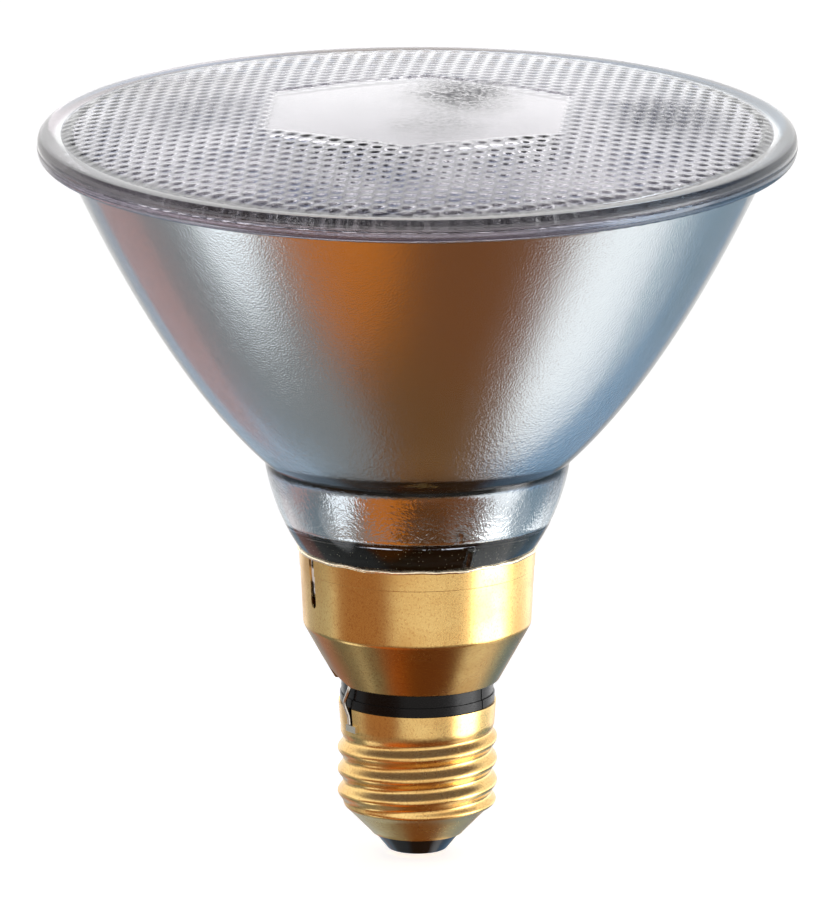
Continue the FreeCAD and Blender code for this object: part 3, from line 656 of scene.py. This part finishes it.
def dome(across, along):
    """Height of the pressed domes at a place on the field, from the deepest valley up."""
    nearest = dome_reach
    for column in (math.floor(across / column_spacing), math.ceil(across / column_spacing)):
        shift = along / dome_spacing - (column % 2) / 2
        gap = (shift - round(shift)) * dome_spacing
        nearest = min(nearest, math.hypot((across - column * column_spacing) * dome_stretch, gap))
    return math.sqrt(dome_radius ** 2 - nearest ** 2) - valley_level


def window_edge(across):
    """Half the window's height at a distance across it."""
    return window_point - (window_point - window_side) * abs(across) / window_half_width


# The field is a grid of small cells, cut to the field's circle and pressed to the domes. Corners at the
# window's edge are moved onto it. Each corner keeps how deep in a valley it is, for the dust and painted
# shade there.
columns = 2 * cells_across * math.ceil(field_radius / column_spacing)
rows = 2 * cells_along * math.ceil(field_radius / dome_spacing)
cell_width = column_spacing / cells_across
cell_length = dome_spacing / cells_along
lens = bmesh.new()
valley_depth = lens.verts.layers.float.new("valley")
bmesh.ops.create_grid(lens, x_segments=columns, y_segments=rows, size=1)
bmesh.ops.scale(lens, vec=(columns * cell_width / 2, rows * cell_length / 2, 1), verts=lens.verts)
field_edge_radius = field_radius - field_trim
outside = [corner for corner in lens.verts if corner.co.length > field_edge_radius]
bmesh.ops.delete(lens, geom=outside, context="VERTS")
strays = [corner for corner in lens.verts if len(corner.link_faces) < 2]
bmesh.ops.delete(lens, geom=strays, context="VERTS")
for corner in lens.verts:
    across, along = corner.co.x, corner.co.y
    if corner.is_boundary:
        corner.co *= field_edge_radius / corner.co.length
        corner.co.z = sphere_centre + math.sqrt(sphere ** 2 - field_edge_radius ** 2) - dome_height
        corner[valley_depth] = 1
        continue
    crest = sphere_centre + math.sqrt(sphere ** 2 - across ** 2 - along ** 2)
    edge = window_edge(across)
    if abs(across) < window_half_width + 0.01:
        if abs(abs(along) - edge) < cell_length / 2:
            corner.co.y = math.copysign(edge, along)
            corner.co.z = crest - window_recess
            continue
        if abs(along) < edge:
            corner.co.z = crest - window_recess
            continue
    corner.co.z = crest - dome_height + dome(across, along)
    if abs(across) < window_half_width and abs(along) < edge + window_clean_cells * cell_length:
        continue
    corner[valley_depth] = 1 - dome(across, along) / dome_height
bmesh.ops.scale(lens, vec=(MM, MM, MM), verts=lens.verts)
bmesh.ops.rotate(lens, cent=(0, 0, 0), matrix=Matrix.Rotation(window_turn, 3, "Z"), verts=lens.verts)

# From the field's edge, rings run out over the rim, down to the seam and back in under the smooth inside.
inner_sphere = sphere - lens_thickness
inner_edge = math.sqrt(inner_sphere ** 2 - (seam_height - sphere_centre) ** 2)
rings = [(field_radius + field_step, land_height)]
rings += rounded((land_radius, land_height), (rim_radius, land_height),
                 (rim_radius, seam_height + rim_bevel), rim_round)
rings += [(rim_radius - rim_bevel, seam_height - seal_depth), (inner_edge, seam_height - seal_depth)]
rings += [(inner_edge * share, sphere_centre + math.sqrt(inner_sphere ** 2 - (inner_edge * share) ** 2))
          for share in [1 - step / inside_steps for step in range(1, inside_steps + 1)]]
border = [line for line in lens.edges if line.is_boundary]
for radius, level in rings:
    grown = bmesh.ops.extrude_edge_only(lens, edges=border)["geom"]
    border = [part for part in grown if isinstance(part, bmesh.types.BMEdge)]
    for corner in [part for part in grown if isinstance(part, bmesh.types.BMVert)]:
        flat = corner.co.xy.normalized() * radius * MM
        corner.co = (flat.x, flat.y, level * MM)
        corner[valley_depth] = 0
    border = [line for line in border if line.is_boundary]
bmesh.ops.remove_doubles(lens, verts=lens.verts, dist=0.0005 * MM)
bmesh.ops.recalc_face_normals(lens, faces=lens.faces)

# The glass is clear, with a faint ripple on it. The valleys between the domes are tinted dark, as dust and as
# painted shade, and blotchy patches of painted shade lie over parts of the field and the window, hazier there
# too.
lens_tint = "#F9F7FA"
lens_edge_painted_left = "#DDDADC"
lens_edge_painted_right = "#B6C4CE"
lens_depth_colour = "#D8D0D4"
lens_density = 12.0
lens_ripple_size = 3.0
lens_ripple_depth = 0.03
dust_and_shade_colour = "#3A415A"
dust_and_shade_levels = (0.08, 0.52)
dust_and_shade_share = (0.6, 1.0)
drift_size = 7
patch_sway = 10
patch_mottle_size = 0.8
patch_mottle_spread = (0.36, 0.56)
patch_fade = (1.2, 0.1)
haze_roughness = (0.02, 0.55)
shade_and_haze_patches = [
    # across, along, half width, half length, strength, colour
    (-36, 6, 18, 22, 0.5, "#5A6684"),
    (41, 4, 14, 20, 0.75, "#2E4270"),
    (-40, 30, 20, 14, 0.5, "#8E7870"),
    (3.4, -10, 9, 13, 0.45, "#3E3A48"),
    (7, 11, 11, 17, 1.0, "#2A2836"),
]

lens_glass, tree, shader = finish("pressed lens glass")
place = add(tree, "TexCoord").node.outputs["Object"]
ripple = add(tree, "TexNoise", {}, {"Vector": place, "Scale": 1 / (lens_ripple_size * MM), "Detail": 3.0})
relief = add(tree, "Bump", {}, {"Height": ripple, "Strength": 0.2, "Distance": lens_ripple_depth * MM})
tree.links.new(relief, shader.inputs["Normal"])
drift = add(tree, "TexNoise", {}, {"Vector": place, "Scale": 1 / (drift_size * MM), "Detail": 3.0})
sway = add(tree, "VectorMath", {"operation": "MULTIPLY_ADD"},
           {0: drift.node.outputs["Color"], 1: (patch_sway * MM, patch_sway * MM, 0), 2: place})
mottle = add(tree, "TexNoise", {},
             {"Vector": place, "Scale": 1 / (patch_mottle_size * MM), "Detail": 3.0, "Roughness": 0.7})
mottle = add(tree, "MapRange", {},
             {"Value": mottle, "From Min": patch_mottle_spread[0], "From Max": patch_mottle_spread[1]})
glass = linear(lens_tint)
shade_and_haze = 0.0
# Each patch is painted shade on the field and the window, and makes the glass hazier there too.
for across, along, width, length, strength, colour in shade_and_haze_patches:
    middle = ((across + patch_sway / 2) * MM, (along + patch_sway / 2) * MM, 0)
    there = add(tree, "Mapping", {"vector_type": "TEXTURE"},
                {"Vector": sway, "Location": middle, "Scale": (width * MM, length * MM, 1)})
    away = add(tree, "VectorMath", {"operation": "LENGTH"}, {0: there}).node.outputs["Value"]
    patch = add(tree, "MapRange", {"interpolation_type": "SMOOTHSTEP"},
                {"Value": away, "From Min": patch_fade[0], "From Max": patch_fade[1], "To Max": strength})
    patch = add(tree, "Math", {"operation": "MULTIPLY", "use_clamp": True}, {0: patch, 1: mottle})
    glass = add(tree, "Mix", {"data_type": "RGBA"}, {0: patch, 6: glass, 7: linear(colour)})
    shade_and_haze = add(tree, "Math", {"operation": "MAXIMUM"}, {0: patch, 1: shade_and_haze})
gloss = add(tree, "MapRange", {}, {"Value": shade_and_haze, "To Min": haze_roughness[0], "To Max": haze_roughness[1]})
tree.links.new(gloss, shader.inputs["Roughness"])
# Darker towards the valley bottoms: dust and painted shade.
dust_and_shade = add(tree, "Attribute", {"attribute_name": "valley"}).node.outputs["Fac"]
dust_and_shade = add(tree, "MapRange", {"interpolation_type": "SMOOTHSTEP"},
           {"Value": dust_and_shade, "From Min": dust_and_shade_levels[0], "From Max": dust_and_shade_levels[1]})
dust_and_shade_amount = add(tree, "MapRange", {},
              {"Value": drift, "From Min": 0.35, "From Max": 0.65,
               "To Min": dust_and_shade_share[0], "To Max": dust_and_shade_share[1]})
dust_and_shade = add(tree, "Math", {"operation": "MULTIPLY"}, {0: dust_and_shade, 1: dust_and_shade_amount})
glass = add(tree, "Mix", {"data_type": "RGBA"}, {0: dust_and_shade, 6: glass, 7: linear(dust_and_shade_colour)})
# The lens edge takes one colour on each side, a painted reflection.
edge = painted_edge_reflection(tree, place, glass, lens_edge_painted_left, lens_edge_painted_right)
tree.links.new(edge, shader.inputs["Base Color"])
shader.inputs["Transmission Weight"].default_value = 1.0
shader.inputs["IOR"].default_value = glass_ior
thick = add(tree, "VolumeAbsorption", {}, {"Color": linear(lens_depth_colour), "Density": lens_density})
tree.links.new(thick, tree.nodes["Material Output"].inputs["Volume"])
lens_piece = piece("stippled_lens", lens, lens_glass)
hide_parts("lens")
